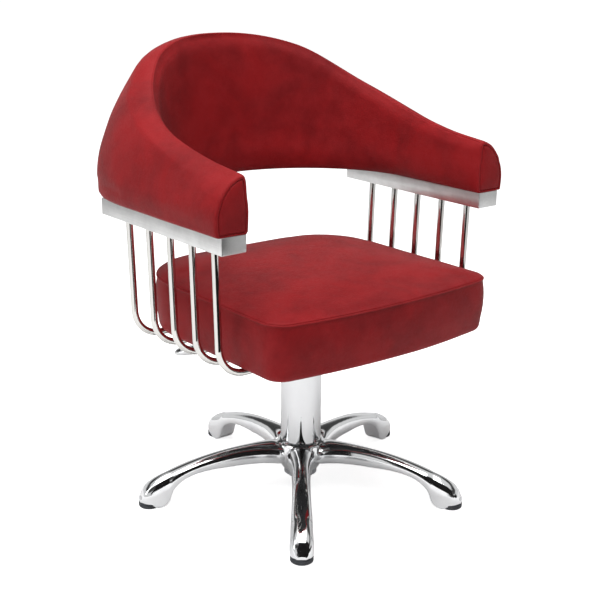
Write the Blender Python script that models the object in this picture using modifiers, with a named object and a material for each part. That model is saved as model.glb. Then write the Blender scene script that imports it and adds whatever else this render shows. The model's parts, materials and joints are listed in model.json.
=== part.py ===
"""Salon styling chair: five-legged base, hydraulic column, rod-hung arm rails, horseshoe pad, box cushion."""
import math

import bmesh
import bpy
from mathutils import Matrix, Vector

# ---------------------------------------------------------------- driving dimensions, metres
GAP = 0.0003                     # running gap between neighbouring pieces
COLUMN_Y = -0.0316               # column axis, so that the origin is under the middle of the whole chair

LEG_COUNT = 5
LEG_TURN = math.radians(-38.0)   # first leg, measured from the chair's front (-Y)
FOOT_RADIUS = 0.297              # circle through the glide centres
GLIDE_RADIUS = 0.0212
GLIDE_HEIGHT = 0.0110
GLIDE_STEM_RADIUS = 0.0040

HUB_TOP = 0.1000
HUB_BOTTOM = 0.0400
HUB_BORE = 0.0243

SLEEVE_RADIUS = 0.0385
SLEEVE_WALL = 0.0015
SLEEVE_TOP = 0.3000

RAM_RADIUS = 0.0140
RAM_BOTTOM = 0.0750
RAM_TOP = 0.3245
CYLINDER_RADIUS = 0.0240
CYLINDER_BOTTOM = 0.0240
HEAD_RADIUS = 0.0366
HEAD_BOTTOM = 0.2350
HEAD_TOP = 0.2960

LEVER_TURN = math.radians(122.5)  # lever direction, counter-clockwise from +X
LEVER_PIVOT = 0.0230              # pivot distance from the column axis
LEVER_PIVOT_Z = 0.2830
LEVER_REACH = 0.2600
PLUNGER_POS = 0.0298

ROD_RADIUS = 0.0062
ROD_Z = 0.3252                   # centre of the rods' run under the seat
ROD_TOP_X = 0.2864
ROD_LEAN = 0.0307                # inward run per unit of drop
ROD_BEND = 0.0520
ROD_FIRST_Y = 0.1289
ROD_PITCH = 0.0659
ROD_COUNT = 5

BAR_X = 0.1150
BAR_HALF_WIDTH = 0.0120
BAR_BOTTOM = 0.3190
BAR_TOP = 0.3314
BAR_FRONT = -0.1520
BAR_BACK = 0.1460

RAIL_OUTER = 0.3100
RAIL_INNER = 0.2620
RAIL_BOTTOM = 0.5469
RAIL_TOP = 0.5763
RAIL_FRONT = -0.1875
RAIL_BACK = 0.1830

BOARD_BOTTOM = 0.3320
BOARD_THICKNESS = 0.0120
SEAT_HALF_WIDTH = 0.2500
SEAT_FRONT = -0.2430             # front edge at the corners
SEAT_BACK = 0.2180
SEAT_BOW = 0.0220                # how far the front edge bows out at the middle
SEAT_FRONT_CORNER = 0.0380
SEAT_BACK_CORNER = 0.1500
SEAT_SEAM_Z = 0.4330
SEAT_CROWN_Z = 0.4520

PAD_BOTTOM = 0.5766
PAD_FRONT = -0.1875
PAD_INNER_X = 0.2570
PAD_INNER_Y = 0.2360
# height of the top edge by arc length from an arm's front to the middle of the back
PAD_TOP = [(0.0, 0.6702), (0.10, 0.6826), (0.20, 0.7071), (0.30, 0.7504), (0.42, 0.8185), (0.57, 0.8436)]
PAD_OUTER_X = 0.3200
PAD_OUTER_MIDDLE_Y = 0.0695
PAD_OUTER_Y = 0.2527
PAD_OUTER_POWER = 2.94
PAD_ARM_THICKNESS = 0.0374       # across the top edge, at the arms' fronts and at the back
PAD_BACK_THICKNESS = 0.0586
PAD_RECLINE = 0.0940
PAD_BOARD_THICKNESS = 0.0060

# ---------------------------------------------------------------- scene and materials
PART_NAME = "styling_chair"
FINISHES = {
    "polished_aluminium": ((0.80, 0.81, 0.82), 0.12, 1.0),
    "chrome": ((0.78, 0.79, 0.80), 0.07, 1.0),
    "black_nylon": ((0.015, 0.017, 0.022), 0.50, 0.0),
    "dark_steel": ((0.16, 0.16, 0.17), 0.40, 1.0),
    "zinc_steel": ((0.60, 0.61, 0.62), 0.35, 1.0),
    "plywood": ((0.42, 0.28, 0.15), 0.70, 0.0),
    "red_leatherette": ((0.33, 0.025, 0.030), 0.48, 0.0),
}


def clear_scene():
    for item in list(bpy.data.objects):
        bpy.data.objects.remove(item, do_unlink=True)


def collection(name):
    group = bpy.data.collections.get(name) or bpy.data.collections.new(name)
    if group.name not in bpy.context.scene.collection.children:
        bpy.context.scene.collection.children.link(group)
    return group


def make_material(node_name, finish):
    colour, roughness, metallic = FINISHES[finish]
    material = bpy.data.materials.new(f"{node_name}_{finish}")
    material.use_nodes = True
    shader = material.node_tree.nodes["Principled BSDF"]
    shader.inputs["Base Color"].default_value = (*colour, 1.0)
    shader.inputs["Roughness"].default_value = roughness
    shader.inputs["Metallic"].default_value = metallic
    material.diffuse_color = (*colour, 1.0)
    return material


def add_object(name, data, finish=None):
    """Link data to the part's collection, or to the cutters' when it has no finish."""
    item = bpy.data.objects.new(name, data)
    if finish is None:
        collection("cutters").objects.link(item)
        item.hide_render = True
        item.display_type = "WIRE"
    else:
        collection(PART_NAME).objects.link(item)
        data.materials.append(make_material(name, finish))
    return item


def set_origin(item, point):
    """Move an object's origin to a point without moving its surface."""
    item.data.transform(Matrix.Translation(-Vector(point)))
    item.location = point


# ---------------------------------------------------------------- shape helpers
def mesh_object(name, work, finish=None):
    bmesh.ops.recalc_face_normals(work, faces=work.faces)
    mesh = bpy.data.meshes.new(name)
    work.to_mesh(mesh)
    work.free()
    return add_object(name, mesh, finish)


def bevel(item, width, segments=1):
    modifier = item.modifiers.new("edge", "BEVEL")
    modifier.width = width
    modifier.segments = segments
    modifier.limit_method = "ANGLE"
    modifier.angle_limit = math.radians(40.0)
    return item


def box(name, low, high, finish=None, edge=0.0):
    work = bmesh.new()
    bmesh.ops.create_cube(work, size=1.0)
    low, high = Vector(low), Vector(high)
    for vert in work.verts:
        vert.co = Vector(low[i] + (vert.co[i] + 0.5) * (high[i] - low[i]) for i in range(3))
    item = mesh_object(name, work, finish)
    return bevel(item, edge) if edge else item


def cylinder(name, radius, start, end, finish=None, sides=16):
    start, end = Vector(start), Vector(end)
    work = bmesh.new()
    bmesh.ops.create_cone(work, cap_ends=True, segments=sides, radius1=radius, radius2=radius,
                          depth=(end - start).length)
    turn = (end - start).to_track_quat("Z", "Y").to_matrix().to_4x4()
    bmesh.ops.transform(work, matrix=Matrix.Translation((start + end) / 2) @ turn, verts=work.verts)
    return mesh_object(name, work, finish)


def turned(name, profile, finish=None, steps=32, closed=False):
    """Turn an outline of (radius, height) about Z with a Screw modifier."""
    mesh = bpy.data.meshes.new(name)
    edges = [(i, i + 1) for i in range(len(profile) - 1)]
    if closed:
        edges.append((len(profile) - 1, 0))
    mesh.from_pydata([(r, 0.0, z) for r, z in profile], edges, [])
    item = add_object(name, mesh, finish)
    modifier = item.modifiers.new("turn", "SCREW")
    modifier.axis = "Z"
    modifier.steps = steps
    modifier.render_steps = steps
    modifier.use_merge_vertices = True
    modifier.merge_threshold = 0.00005
    modifier.use_smooth_shade = False
    return item


def loft(name, rings, finish=None):
    """Skin a list of equal rings and close both ends."""
    work = bmesh.new()
    rows = [[work.verts.new(point) for point in ring] for ring in rings]
    size = len(rows[0])
    for row, following in zip(rows, rows[1:]):
        for i in range(size):
            k = (i + 1) % size
            work.faces.new((row[i], row[k], following[k], following[i]))
    work.faces.new(rows[0])
    work.faces.new(list(reversed(rows[-1])))
    bmesh.ops.triangulate(work, faces=work.faces)
    return mesh_object(name, work, finish)


def rod_curve(name, points, radius, finish):
    curve = bpy.data.curves.new(name, "CURVE")
    curve.dimensions = "3D"
    curve.bevel_depth = radius
    curve.bevel_resolution = 3
    curve.use_fill_caps = True
    spline = curve.splines.new("POLY")
    spline.points.add(len(points) - 1)
    for target, point in zip(spline.points, points):
        target.co = (*point, 1.0)
    return add_object(name, curve, finish)


def combine(item, other, operation):
    modifier = item.modifiers.new(operation.lower(), "BOOLEAN")
    modifier.operation = operation
    modifier.solver = "EXACT"
    modifier.object = other
    return item


def cut(item, *cutters):
    for cutter in cutters:
        combine(item, cutter, "DIFFERENCE")
    return item


def fillet(start, corner, end, radius, segments):
    """Points of an arc that rounds the corner between two straight runs."""
    start, corner, end = Vector(start), Vector(corner), Vector(end)
    u = (start - corner).normalized()
    v = (end - corner).normalized()
    half = u.angle(v) / 2
    reach = radius / math.tan(half)
    centre = corner + (u + v).normalized() * (radius / math.sin(half))
    first = corner + u * reach - centre
    axis = first.cross(corner + v * reach - centre).normalized()
    sweep = math.pi - 2 * half
    return [centre + Matrix.Rotation(sweep * i / segments, 3, axis) @ first for i in range(segments + 1)]


def radial(angle, distance, z, side=0.0):
    """A point at a distance from the column along a heading, moved sideways if asked."""
    along = Vector((math.cos(angle), math.sin(angle), 0.0))
    across = Vector((-math.sin(angle), math.cos(angle), 0.0))
    return along * distance + across * side + Vector((0.0, 0.0, z))


def interpolate(stations, x):
    for (x0, y0), (x1, y1) in zip(stations, stations[1:]):
        if x <= x1:
            return y0 + (y1 - y0) * (x - x0) / (x1 - x0)
    return stations[-1][1]


def interpolate_smooth(stations, x):
    """Smooth curve through the stations, level at the last one."""
    slopes = [(b[1] - a[1]) / (b[0] - a[0]) for a, b in zip(stations, stations[1:])]
    tangents = [slopes[0]] + [(a + b) / 2 for a, b in zip(slopes, slopes[1:])] + [0.0]
    for i, ((x0, y0), (x1, y1)) in enumerate(zip(stations, stations[1:])):
        if x <= x1:
            span = x1 - x0
            t = (x - x0) / span
            return ((2 * t ** 3 - 3 * t ** 2 + 1) * y0 + (t ** 3 - 2 * t ** 2 + t) * span * tangents[i]
                    + (3 * t ** 2 - 2 * t ** 3) * y1 + (t ** 3 - t ** 2) * span * tangents[i + 1])
    return stations[-1][1]


def smooth(x):
    x = min(max(x, 0.0), 1.0)
    return x * x * (3.0 - 2.0 * x)


# ---------------------------------------------------------------- star base
LEG_TOP = [(0.031, 0.088), (0.050, 0.0975), (0.070, 0.0988), (0.110, 0.0968), (0.150, 0.0922), (0.190, 0.0845),
           (0.225, 0.0750), (0.255, 0.0652), (0.280, 0.0562), (0.297, 0.0462), (0.3085, 0.0345), (0.3175, 0.0180)]
LEG_UNDER = [(0.031, 0.0570), (0.070, 0.0620), (0.150, 0.0620), (0.190, 0.0600), (0.225, 0.0525), (0.244, 0.0415),
             (0.256, 0.0280), (0.262, 0.0115), (0.320, 0.0115)]
LEG_HALF_WIDTH = [(0.031, 0.0205), (0.048, 0.0275), (0.060, 0.0260), (0.100, 0.0190), (0.140, 0.0168), (0.190, 0.0168),
                  (0.225, 0.0178), (0.262, 0.0202), (0.290, 0.0215), (0.303, 0.0198), (0.311, 0.0155),
                  (0.3175, 0.0085)]
LEG_STATIONS = [0.031, 0.048, 0.060, 0.080, 0.110, 0.150, 0.190, 0.220, 0.240, 0.254, 0.262, 0.280, 0.297, 0.309, 0.3175]
CHANNEL_STATIONS = [0.066, 0.110, 0.150, 0.190, 0.225, 0.248]
LEG_SECTION = [(-0.90, 0.0), (-1.0, 0.30), (-0.92, 0.68), (-0.55, 0.93), (0.0, 1.0),
               (0.55, 0.93), (0.92, 0.68), (1.0, 0.30), (0.90, 0.0)]


def leg_heading(index):
    return LEG_TURN - math.pi / 2 + index * 2 * math.pi / LEG_COUNT


def leg(index):
    rings = []
    for r in LEG_STATIONS:
        top, under = interpolate(LEG_TOP, r), interpolate(LEG_UNDER, r)
        width = interpolate(LEG_HALF_WIDTH, r)
        rings.append([radial(leg_heading(index), r, under + (top - under) * v, u * width)
                      for u, v in LEG_SECTION])
    return loft(f"leg_form_{index + 1}", rings)


def leg_channel(index):
    """The hollow under a leg."""
    rings = []
    for r in CHANNEL_STATIONS:
        top = interpolate(LEG_TOP, r) - 0.0095
        width = interpolate(LEG_HALF_WIDTH, r) - 0.0055
        low = interpolate(LEG_UNDER, r) - 0.012
        section = [(-1.0, low), (-1.0, top - 0.007), (-0.6, top), (0.6, top), (1.0, top - 0.007), (1.0, low)]
        rings.append([radial(leg_heading(index), r, z, u * width) for u, z in section])
    return loft(f"channel_cutter_{index + 1}", rings)


def star_base():
    hub = [(HUB_BORE, HUB_TOP), (0.0400, HUB_TOP), (0.0455, 0.0950), (0.0470, 0.0800),
           (0.0440, 0.0620), (0.0385, 0.0480), (0.0340, HUB_BOTTOM), (HUB_BORE, HUB_BOTTOM)]
    base = turned("star_base", hub, "polished_aluminium", steps=40, closed=True)
    for index in range(LEG_COUNT):
        combine(base, leg(index), "UNION")
    for index in range(LEG_COUNT):
        foot = radial(leg_heading(index), FOOT_RADIUS, 0.0)
        hole = cylinder(f"stem_cutter_{index + 1}", GLIDE_STEM_RADIUS + GAP, foot, foot + Vector((0, 0, 0.0305)),
                        sides=12)
        cut(base, leg_channel(index), hole)
    return base


def glides():
    for index in range(LEG_COUNT):
        profile = [(0.0, 0.0300), (GLIDE_STEM_RADIUS, 0.0300), (GLIDE_STEM_RADIUS, GLIDE_HEIGHT),
                   (0.0180, GLIDE_HEIGHT), (GLIDE_RADIUS, GLIDE_HEIGHT - 0.0020), (GLIDE_RADIUS, 0.0025),
                   (GLIDE_RADIUS - 0.0015, 0.0), (0.0, 0.0)]
        glide = turned(f"glide_{index + 1}", profile, "black_nylon", steps=16)
        glide.location = radial(leg_heading(index), FOOT_RADIUS, 0.0)


# ---------------------------------------------------------------- column, pump and lever
def column():
    lever_window = lever_box("sleeve_window", 0.030, 0.050, 0.0125, 0.2620, 0.2965)
    outer, inner = SLEEVE_RADIUS, SLEEVE_RADIUS - SLEEVE_WALL
    sleeve = turned("column_sleeve", [(inner, SLEEVE_TOP), (outer, SLEEVE_TOP), (outer, HUB_TOP + GAP),
                                      (inner, HUB_TOP + GAP)], "chrome", steps=48, closed=True)
    cut(sleeve, lever_window)
    bore = RAM_RADIUS + GAP
    profile = [(bore, HEAD_TOP), (HEAD_RADIUS, HEAD_TOP), (HEAD_RADIUS, HEAD_BOTTOM),
               (CYLINDER_RADIUS, HEAD_BOTTOM - 0.006), (CYLINDER_RADIUS, CYLINDER_BOTTOM), (0.0, CYLINDER_BOTTOM),
               (0.0, RAM_BOTTOM - 0.003), (bore, RAM_BOTTOM - 0.003)]
    pump = turned("pump_cylinder", profile + [profile[0]], "dark_steel", steps=32)
    slot = lever_box("head_slot", 0.0166, 0.050, 0.0095, 0.2700, 0.3100)
    hole = cylinder("pin_cutter", 0.0033, radial(LEVER_TURN, LEVER_PIVOT, LEVER_PIVOT_Z, -0.0300),
                    radial(LEVER_TURN, LEVER_PIVOT, LEVER_PIVOT_Z, 0.0300), sides=12)
    well = cylinder("plunger_cutter", 0.0036, radial(LEVER_TURN, PLUNGER_POS, 0.2390),
                    radial(LEVER_TURN, PLUNGER_POS, 0.2800), sides=12)
    cut(pump, slot, hole, well)
    cylinder("lever_pin", 0.0030, radial(LEVER_TURN, LEVER_PIVOT, LEVER_PIVOT_Z, -0.0235),
             radial(LEVER_TURN, LEVER_PIVOT, LEVER_PIVOT_Z, 0.0235), "zinc_steel", sides=12)
    turned("gland_ring", [(bore, 0.3010), (0.0300, 0.3010), (0.0330, 0.2990), (0.0330, HEAD_TOP + GAP),
                          (bore, HEAD_TOP + GAP)], "black_nylon", steps=32, closed=True)
    nut_bore = CYLINDER_RADIUS + GAP
    nut_bottom = HUB_BOTTOM - 0.0100
    turned("hub_nut", [(nut_bore, HUB_BOTTOM - GAP), (0.0315, HUB_BOTTOM - GAP), (0.0315, nut_bottom),
                       (nut_bore, nut_bottom)], "zinc_steel", steps=24, closed=True)
    ram = turned("piston_ram", [(0.0, RAM_TOP), (RAM_RADIUS, RAM_TOP), (RAM_RADIUS, RAM_BOTTOM), (0.0, RAM_BOTTOM)],
                 "chrome", steps=32)
    set_origin(ram, (0.0, 0.0, 0.0))


def lever_box(name, near, far, half_width, low, high):
    """A box laid along the lever's heading."""
    return loft(name, [[radial(LEVER_TURN, r, z, side) for side, z in
                        ((-half_width, low), (half_width, low), (half_width, high), (-half_width, high))]
                       for r in (near, far)])


def lever():
    """Bar from the pivot out past the sleeve, cranked down to its tread."""
    pivot = radial(LEVER_TURN, LEVER_PIVOT, LEVER_PIVOT_Z)
    # distance from the column, height of the bar's middle, half depth, half width
    stations = [(0.0180, 0.2830, 0.0038, 0.0070), (0.0200, 0.2830, 0.0054, 0.0090), (0.0230, 0.2830, 0.0060, 0.0090),
                (0.0600, 0.2830, 0.0058, 0.0088), (0.0850, 0.2800, 0.0052, 0.0085), (0.1400, 0.2680, 0.0045, 0.0085),
                (0.2050, 0.2530, 0.0040, 0.0090)]
    rings = []
    for r, z, depth, width in stations:
        section = [(-1.0, -0.5), (-0.7, -1.0), (0.7, -1.0), (1.0, -0.5), (1.0, 0.5), (0.7, 1.0), (-0.7, 1.0),
                   (-1.0, 0.5)]
        rings.append([radial(LEVER_TURN, r, z + v * depth, u * width) for u, v in section])
    arm = loft("lever_arm", rings, "chrome")
    hole = cylinder("arm_pin_cutter", 0.0033, radial(LEVER_TURN, LEVER_PIVOT, LEVER_PIVOT_Z, -0.0200),
                    radial(LEVER_TURN, LEVER_PIVOT, LEVER_PIVOT_Z, 0.0200), sides=12)
    cut(arm, hole)
    set_origin(arm, pivot)
    arm.data.update()
    tread_stations = [(0.2053, 0.2529, 0.55, 0.60), (0.2120, 0.2515, 0.90, 0.85), (0.2250, 0.2485, 1.0, 1.0),
                      (0.2420, 0.2450, 1.0, 1.0), (0.2530, 0.2427, 0.90, 0.80), (LEVER_REACH, 0.2412, 0.55, 0.40)]
    rings = []
    for r, z, width, depth in tread_stations:
        ring = []
        for k in range(12):
            turn = 2 * math.pi * k / 12
            ring.append(radial(LEVER_TURN, r, z + 0.0085 * depth * math.sin(turn), 0.0155 * width * math.cos(turn)))
        rings.append(ring)
    tread = loft("lever_tread", rings, "chrome")
    set_origin(tread, pivot)
    plunger_top = LEVER_PIVOT_Z - 0.0060 - GAP
    cylinder("pump_plunger", 0.0032, radial(LEVER_TURN, PLUNGER_POS, 0.2445),
             radial(LEVER_TURN, PLUNGER_POS, plunger_top), "zinc_steel", sides=12)


# ---------------------------------------------------------------- seat underframe
def screw(name, x, y, head_low, head_high, tip, head_radius=0.0065, shank=0.0030):
    profile = [(0.0, tip), (shank, tip), (shank, head_high), (head_radius, head_high),
               (head_radius * 0.8, head_low), (0.0, head_low)]
    item = turned(name, profile, "zinc_steel", steps=12)
    item.location = (x, y, 0.0)


def screw_cutter(name, x, y, low, high, radius=0.0033):
    return cylinder(name, radius, (x, y, low), (x, y, high), sides=12)


def seat_outline(inset=0.0):
    """Plan of the cushion: bowed front, small front corners, large back corners."""
    front, back, side = SEAT_FRONT + inset, SEAT_BACK - inset, SEAT_HALF_WIDTH - inset
    front_corner, back_corner = max(SEAT_FRONT_CORNER - inset, 0.006), max(SEAT_BACK_CORNER - inset, 0.006)
    half = [(side * share, front) for share in (0.14, 0.42, 0.66)]
    for k in range(6):
        turn = math.pi / 2 * (k / 5 - 1)
        half.append((side - front_corner + front_corner * math.cos(turn),
                     front + front_corner + front_corner * math.sin(turn)))
    half.append((side, (front + front_corner + back - back_corner) / 2))
    for k in range(7):
        turn = math.pi / 2 * k / 6
        half.append((side - back_corner + back_corner * math.cos(turn),
                     back - back_corner + back_corner * math.sin(turn)))
    bowed = [(x, y - SEAT_BOW * (1.0 - (x / side) ** 2) * smooth((y - 0.05) / (front - 0.05))) for x, y in half]
    return bowed + [(-x, y) for x, y in reversed(bowed)]


def seat_rings(levels):
    return [[(x, y, z) for x, y in seat_outline(inset)] for inset, z in levels]


def seat():
    board_top = BOARD_BOTTOM + BOARD_THICKNESS
    board = loft("seat_board", seat_rings([(0.0270, BOARD_BOTTOM), (0.0270, board_top)]), "plywood")
    recess = loft("board_cutter", seat_rings([(0.0266, BOARD_BOTTOM - 0.010), (0.0266, board_top + GAP)]))
    # inset from the widest outline, height
    levels = [(0.0170, BOARD_BOTTOM), (0.0085, 0.3385), (0.0022, 0.3550), (-0.0030, 0.3900), (-0.0018, 0.4180),
              (0.0012, SEAT_SEAM_Z), (0.0100, 0.4400), (0.0300, 0.4460), (0.0800, 0.4500), (0.1500, SEAT_CROWN_Z)]
    cushion = loft("seat_cushion", seat_rings(levels), "red_leatherette")
    cut(cushion, recess)
    plate = box("seat_bracket", (-0.0980, -0.1100, 0.3257), (0.0980, 0.1100, 0.3317), "dark_steel", edge=0.0020)
    boss = turned("bracket_boss", [(0.0, 0.3300), (0.0300, 0.3300), (0.0270, 0.3050), (0.0, 0.3050)], steps=32)
    combine(plate, boss, "UNION")
    cut(plate, cylinder("ram_cutter", RAM_RADIUS + GAP, (0, 0, 0.2900), (0, 0, RAM_TOP + GAP), sides=32))
    number = 0
    for x in (-0.075, 0.075):
        for y in (-0.085, 0.085):
            number += 1
            cut(plate, screw_cutter(f"bracket_hole_{number}", x, y, 0.3200, 0.3400))
            cut(board, screw_cutter(f"board_hole_{number}", x, y, 0.3250, 0.3405))
            screw(f"bracket_screw_{number}", x, y, 0.3212, 0.3254, 0.3402)
    number = 0
    for side, label in ((-1, "right"), (1, "left")):
        x = side * BAR_X
        bar = box(f"rod_bar_{label}", (x - BAR_HALF_WIDTH, BAR_FRONT, BAR_BOTTOM),
                  (x + BAR_HALF_WIDTH, BAR_BACK, BAR_TOP), "dark_steel", edge=0.0010)
        for y in (-0.100, 0.096):
            number += 1
            cut(bar, screw_cutter(f"bar_hole_{number}", x, y, 0.3100, 0.3350))
            cut(board, screw_cutter(f"bar_board_hole_{number}", x, y, 0.3250, 0.3405))
            screw(f"bar_screw_{number}", x, y, BAR_BOTTOM - 0.0045, BAR_BOTTOM - GAP, 0.3402)


def rods():
    """L-shaped rods from the arm rails down and in to the bars under the seat."""
    top_z = RAIL_BOTTOM - GAP
    inner_x = BAR_X + BAR_HALF_WIDTH + GAP
    corner_x = ROD_TOP_X - (RAIL_BOTTOM - ROD_Z) * ROD_LEAN
    for side, label in ((-1, "right"), (1, "left")):
        for number in range(ROD_COUNT):
            y = ROD_FIRST_Y - number * ROD_PITCH
            top = (side * ROD_TOP_X, y, top_z)
            corner = (side * corner_x, y, ROD_Z)
            end = (side * inner_x, y, ROD_Z)
            points = [Vector(top)] + fillet(top, corner, end, ROD_BEND, 6) + [Vector(end)]
            rod_curve(f"rod_{label}_{number + 1}", points, ROD_RADIUS, "chrome")


# ---------------------------------------------------------------- arm rails and horseshoe pad
def inner_point(path):
    """Plan point, outward direction and arc length of the pad's inner wall; path runs -1 to 1."""
    arm = 0.32
    side = -1.0 if path < 0 else 1.0
    along = abs(path)
    if along > 1.0 - arm:
        y = PAD_FRONT * (along - (1.0 - arm)) / arm
        return Vector((side * PAD_INNER_X, y)), Vector((side, 0.0)), y - PAD_FRONT
    turn = (1.0 - along / (1.0 - arm)) * math.pi / 2
    turn = math.pi / 2 - turn
    point = Vector((side * PAD_INNER_X * math.sin(turn), PAD_INNER_Y * math.cos(turn)))
    outward = Vector((side * math.sin(turn) / PAD_INNER_X, math.cos(turn) / PAD_INNER_Y)).normalized()
    length = (math.pi / 2 - turn) * (PAD_INNER_X + PAD_INNER_Y) / 2
    return point, outward, length - PAD_FRONT


def outer_distance(point, outward):
    """How far the pad's lower outer edge lies from its inner wall."""
    low, high = 0.02, 0.25
    for _ in range(40):
        middle = (low + high) / 2
        x, y = point + outward * middle
        reach = (abs(x) / PAD_OUTER_X) ** PAD_OUTER_POWER
        reach += (max(y - PAD_OUTER_MIDDLE_Y, 0.0) / PAD_OUTER_Y) ** PAD_OUTER_POWER
        low, high = (middle, high) if reach < 1.0 else (low, middle)
    return low


def pad_section(path):
    """One section of the pad from its lower inner edge; its outer wall is upright at the front of the arms."""
    point, outward, length = inner_point(path)
    bottom = outer_distance(point, outward)
    top_z = interpolate_smooth(PAD_TOP, length)
    thickness = PAD_ARM_THICKNESS + (PAD_BACK_THICKNESS - PAD_ARM_THICKNESS) * smooth(length / PAD_TOP[-1][0])
    top = min(thickness, bottom)
    rise = top_z - PAD_BOTTOM
    lean = PAD_RECLINE * max(outward.y, 0.0)
    outline = [(0.005, 0.0), (0.0, 0.005), (-0.001, rise * 0.50), (0.0, rise - 0.012), (0.004, rise - 0.004),
               (0.012, rise), (top * 0.50, rise - 0.001)]
    spread = bottom - top
    upright = 1.0 - smooth(length / 0.20)
    for short, drop, slope, front in ((0.018, 0.006, 0.02, 0.12), (0.006, 0.016, 0.08, 0.34), (0.0, 0.030, 0.17, 0.72)):
        outline.append((top - short + spread * (slope + (front - slope) * upright), rise - drop))
    for part, slope, front in ((0.85, 0.44, 0.82), (0.68, 0.68, 0.92), (0.40, 0.95, 1.0)):
        swell = slope + (front - slope) * upright
        outline.append((top + spread * swell + 0.0015 * math.sin(math.pi * part), (rise - 0.030) * part))
    outline += [(bottom, 0.008), (bottom - 0.006, 0.0)]
    ring = []
    for across, up in outline:
        plan = point + outward * across
        ring.append((plan.x, plan.y + lean * up, PAD_BOTTOM + up))
    return ring


def pad_stations(count=34):
    return [-1.0 + 2.0 * k / count for k in range(count + 1)]


def board_section(path, low, high, margin):
    point, outward, _ = inner_point(path)
    bottom = outer_distance(point, outward)
    inner, outer = point + outward * margin, point + outward * (bottom - margin)
    return [(inner.x, inner.y, low), (inner.x, inner.y, high), (outer.x, outer.y, high), (outer.x, outer.y, low)]


def pad_and_rails():
    shell = loft("back_arm_pad", [pad_section(path) for path in pad_stations()], "red_leatherette")
    reach = 0.985
    board_top = PAD_BOTTOM + PAD_BOARD_THICKNESS
    paths = [path * reach for path in pad_stations(28)]
    board = loft("pad_board", [board_section(path, PAD_BOTTOM, board_top, 0.0090) for path in paths], "plywood")
    paths = [path * (reach + 0.001) for path in pad_stations(28)]
    recess = loft("pad_board_cutter", [board_section(path, PAD_BOTTOM - 0.010, board_top + GAP, 0.0087)
                                       for path in paths])
    cut(shell, recess)
    number = 0
    for side, label in ((-1, "right"), (1, "left")):
        low_x, high_x = sorted((side * RAIL_INNER, side * RAIL_OUTER))
        rail = box(f"arm_rail_{label}", (low_x, RAIL_FRONT, RAIL_BOTTOM), (high_x, RAIL_BACK, RAIL_TOP),
                   "polished_aluminium", edge=0.0012)
        for y in (-0.102, 0.096):
            number += 1
            x = side * ROD_TOP_X
            cut(rail, screw_cutter(f"rail_hole_{number}", x, y, 0.5400, 0.5800))
            cut(board, screw_cutter(f"pad_hole_{number}", x, y, 0.5700, 0.5900))
            screw(f"pad_screw_{number}", x, y, RAIL_BOTTOM - 0.0045, RAIL_BOTTOM - GAP, board_top - 0.0005)


def build():
    clear_scene()
    collection(PART_NAME)
    collection("cutters")
    star_base()
    glides()
    column()
    lever()
    seat()
    rods()
    pad_and_rails()
    for item in bpy.data.objects:
        item.location.y += COLUMN_Y


build()
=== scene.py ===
"""Looks of the salon styling chair: upholstery, chrome, polished base, floor, light and camera."""
import json
import math

import bmesh
import bpy
from mathutils import Matrix, Vector, kdtree, noise


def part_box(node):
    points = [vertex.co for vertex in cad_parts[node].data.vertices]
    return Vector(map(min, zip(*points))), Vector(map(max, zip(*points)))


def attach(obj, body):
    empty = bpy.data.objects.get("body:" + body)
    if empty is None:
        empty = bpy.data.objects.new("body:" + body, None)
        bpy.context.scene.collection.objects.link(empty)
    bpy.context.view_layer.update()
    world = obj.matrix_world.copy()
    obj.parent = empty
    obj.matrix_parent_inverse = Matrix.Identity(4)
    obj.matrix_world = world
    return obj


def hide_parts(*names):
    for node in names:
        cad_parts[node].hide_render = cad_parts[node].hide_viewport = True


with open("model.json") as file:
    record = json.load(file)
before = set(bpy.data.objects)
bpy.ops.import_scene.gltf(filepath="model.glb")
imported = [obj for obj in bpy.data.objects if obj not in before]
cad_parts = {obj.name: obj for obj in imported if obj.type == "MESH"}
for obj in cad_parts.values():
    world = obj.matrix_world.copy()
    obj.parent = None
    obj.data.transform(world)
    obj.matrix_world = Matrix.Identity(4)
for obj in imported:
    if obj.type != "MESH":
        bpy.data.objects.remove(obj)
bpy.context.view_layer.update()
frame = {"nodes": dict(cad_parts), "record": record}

# ---------------------------------------------------------------- sizes shared with the CAD, metres
COLUMN_Y = -0.0316
LEG_COUNT = 5
LEG_TURN = math.radians(-38.0)
FOOT_RADIUS = 0.297
SLEEVE_RADIUS = 0.0385
LEVER_TURN = math.radians(122.5)
ROD_RADIUS = 0.0062
ROD_Z = 0.3252
ROD_TOP_X = 0.2864
ROD_LEAN = 0.0307
ROD_BEND = 0.0520
ROD_FIRST_Y = 0.1289
ROD_PITCH = 0.0659
ROD_COUNT = 5
ROD_INNER_X = 0.1273
RAIL_BOTTOM = 0.5469
SEAT_BOTTOM = 0.3320
SEAT_HALF_WIDTH = 0.2500
SEAT_FRONT = -0.2430
SEAT_BACK = 0.2180
SEAT_BOW = 0.0220
SEAT_FRONT_CORNER = 0.0380
SEAT_BACK_CORNER = 0.1500
SEAT_SEAM_Z = 0.4330
PAD_BOTTOM = 0.5766
PAD_FRONT = -0.1875
PAD_INNER_X = 0.2570
PAD_INNER_Y = 0.2360
PAD_TOP = [(0.0, 0.6702), (0.10, 0.6826), (0.20, 0.7071), (0.30, 0.7504), (0.42, 0.8185), (0.57, 0.8436)]
PAD_OUTER_X = 0.3200
PAD_OUTER_MIDDLE_Y = 0.0695
PAD_OUTER_Y = 0.2527
PAD_OUTER_POWER = 2.94
PAD_ARM_THICKNESS = 0.0374
PAD_BACK_THICKNESS = 0.0586
PAD_RECLINE = 0.0940

# ---------------------------------------------------------------- colours
RED = (0.262, 0.0062, 0.0082)
# deep red: random blotches, and the painted shade in the grain's hollows
RED_DEEP = (0.135, 0.0032, 0.0048)
# paler red: random mottling, and the painted highlight on convex edges
RED_PALE_MOTTLE_AND_EDGE_HIGHLIGHT = (0.350, 0.0210, 0.0250)


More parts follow.
